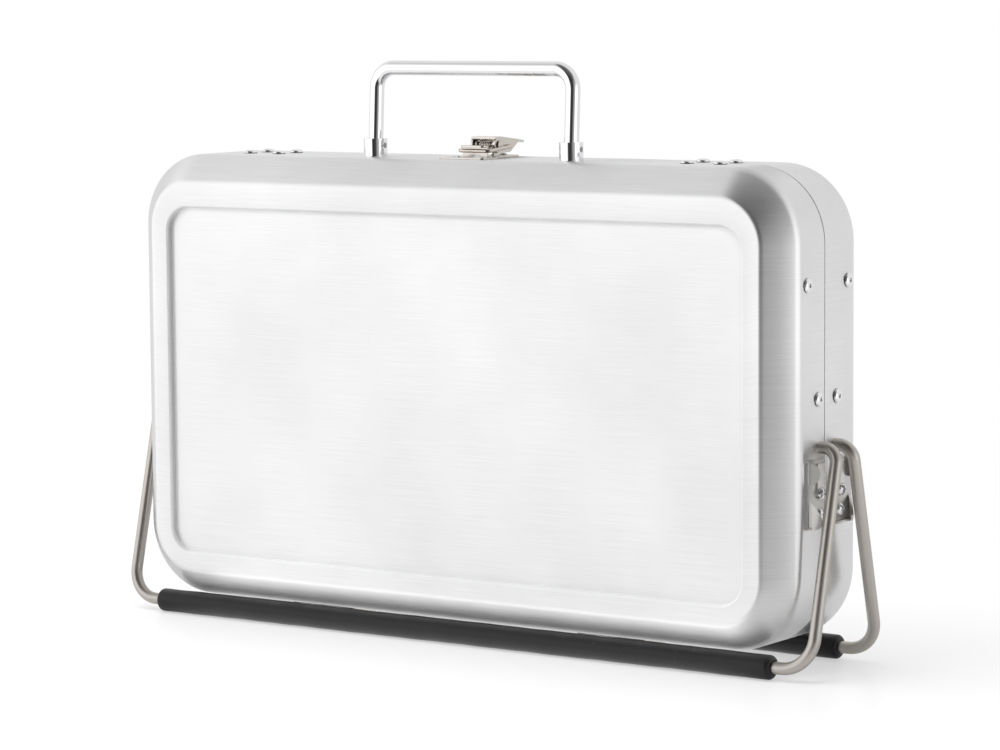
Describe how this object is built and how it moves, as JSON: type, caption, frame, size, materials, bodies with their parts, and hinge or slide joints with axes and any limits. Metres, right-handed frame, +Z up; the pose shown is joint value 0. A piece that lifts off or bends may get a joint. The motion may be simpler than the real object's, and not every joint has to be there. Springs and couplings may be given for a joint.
{
  "type": "briefcase grill",
  "caption": "Portable charcoal grill that closes like a briefcase, with a steel case, fold-out wire legs, cooking grids, a toggle latch and a carrying handle",
  "frame": {"origin": "on the floor under the middle of the closed case, where the rubber leg sleeves stand", "axes": "+X along the width, to the right seen from the front; -Y out of the front; +Z up"},
  "size_m": [0.4518, 0.086, 0.313],
  "materials": {
    "brushed_sheet": "stainless sheet, fine brushing along the width",
    "nickel_sheet": "nickel plated pressed sheet, satin",
    "nickel_wire": "nickel plated wire, bright",
    "chromed_wire": "chrome plated grid wire",
    "chromed_handle": "polished chrome",
    "plain_sheet": "plain cold rolled stainless sheet",
    "zinc_screws": "bright zinc plate",
    "rivets": "satin",
    "rubber_sleeve": "matt black foam rubber"
  },
  "bodies": {
    "rear_half": {"rear_shell": "brushed_sheet", "rear_leg_brackets": "nickel_sheet", "rear_bracket_screws": "zinc_screws", "rear_bracket_nuts": "zinc_screws", "rear_grid_frame": "chromed_wire", "rear_grid_bars": "chromed_wire", "rear_grid_cross_wires": "chromed_wire", "rear_grid_clips": "plain_sheet", "rear_charcoal_plate": "plain_sheet", "rear_clip_rivets": "rivets", "rear_plate_rivets": "rivets", "rear_hinge_leaves": "nickel_sheet", "rear_hinge_rivets": "rivets", "hinge_pins": "nickel_wire", "latch_base": "nickel_sheet", "latch_base_rivets": "rivets", "lever_pin": "nickel_wire", "latch_spring": "nickel_wire"},
    "front_half": {"front_shell": "brushed_sheet", "front_leg_brackets": "nickel_sheet", "front_bracket_screws": "zinc_screws", "front_bracket_nuts": "zinc_screws", "front_grid_frame": "chromed_wire", "front_grid_bars": "chromed_wire", "front_grid_cross_wires": "chromed_wire", "front_grid_clips": "plain_sheet", "front_charcoal_plate": "plain_sheet", "front_clip_rivets": "rivets", "front_plate_rivets": "rivets", "front_hinge_leaves": "nickel_sheet", "front_hinge_rivets": "rivets", "latch_keeper": "nickel_sheet", "latch_keeper_rivets": "rivets", "handle_collars": "chromed_handle", "collar_nuts": "zinc_screws", "collar_pins": "nickel_wire"},
    "front_leg": {"front_leg_rod": "nickel_wire", "front_leg_sleeve": "rubber_sleeve", "front_leg_retainers": "plain_sheet"},
    "rear_leg": {"rear_leg_rod": "nickel_wire", "rear_leg_sleeve": "rubber_sleeve", "rear_leg_retainers": "plain_sheet"},
    "handle_body": {"handle": "chromed_handle"},
    "lever_body": {"latch_lever": "nickel_sheet"},
    "bail_body": {"latch_bail": "nickel_wire"}
  },
  "joints": [
    {"name": "case_hinge", "type": "hinge", "parent": "rear_half", "child": "front_half", "pos_m": [0, -0.003, 0.00875], "axis": [1, 0, 0], "range_deg": [0, 180]},
    {"name": "front_leg_swing", "type": "hinge", "parent": "front_half", "child": "front_leg", "pos_m": [0, -0.0077, 0.1174], "axis": [-1, 0, 0], "range_deg": [0, 65]},
    {"name": "rear_leg_swing", "type": "hinge", "parent": "rear_half", "child": "rear_leg", "pos_m": [0, 0.0077, 0.1174], "axis": [1, 0, 0], "range_deg": [0, 65]},
    {"name": "handle_fold", "type": "hinge", "parent": "front_half", "child": "handle_body", "pos_m": [0, -0.0113, 0.2668], "axis": [-1, 0, 0], "range_deg": [0, 75]},
    {"name": "lever_turn", "type": "hinge", "parent": "rear_half", "child": "lever_body", "pos_m": [0, 0.0035, 0.2676], "axis": [1, 0, 0], "range_deg": [0, 90]},
    {"name": "bail_turn", "type": "hinge", "parent": "lever_body", "child": "bail_body", "pos_m": [0, 0.012, 0.2666], "axis": [1, 0, 0], "range_deg": [-57.6, 0]}
  ],
  "couplings": [
    {"joint": "front_leg_swing", "follows": "case_hinge", "ratio": 0.36},
    {"joint": "rear_leg_swing", "follows": "case_hinge", "ratio": 0.36},
    {"joint": "bail_turn", "follows": "lever_turn", "ratio": -0.64}
  ]
}
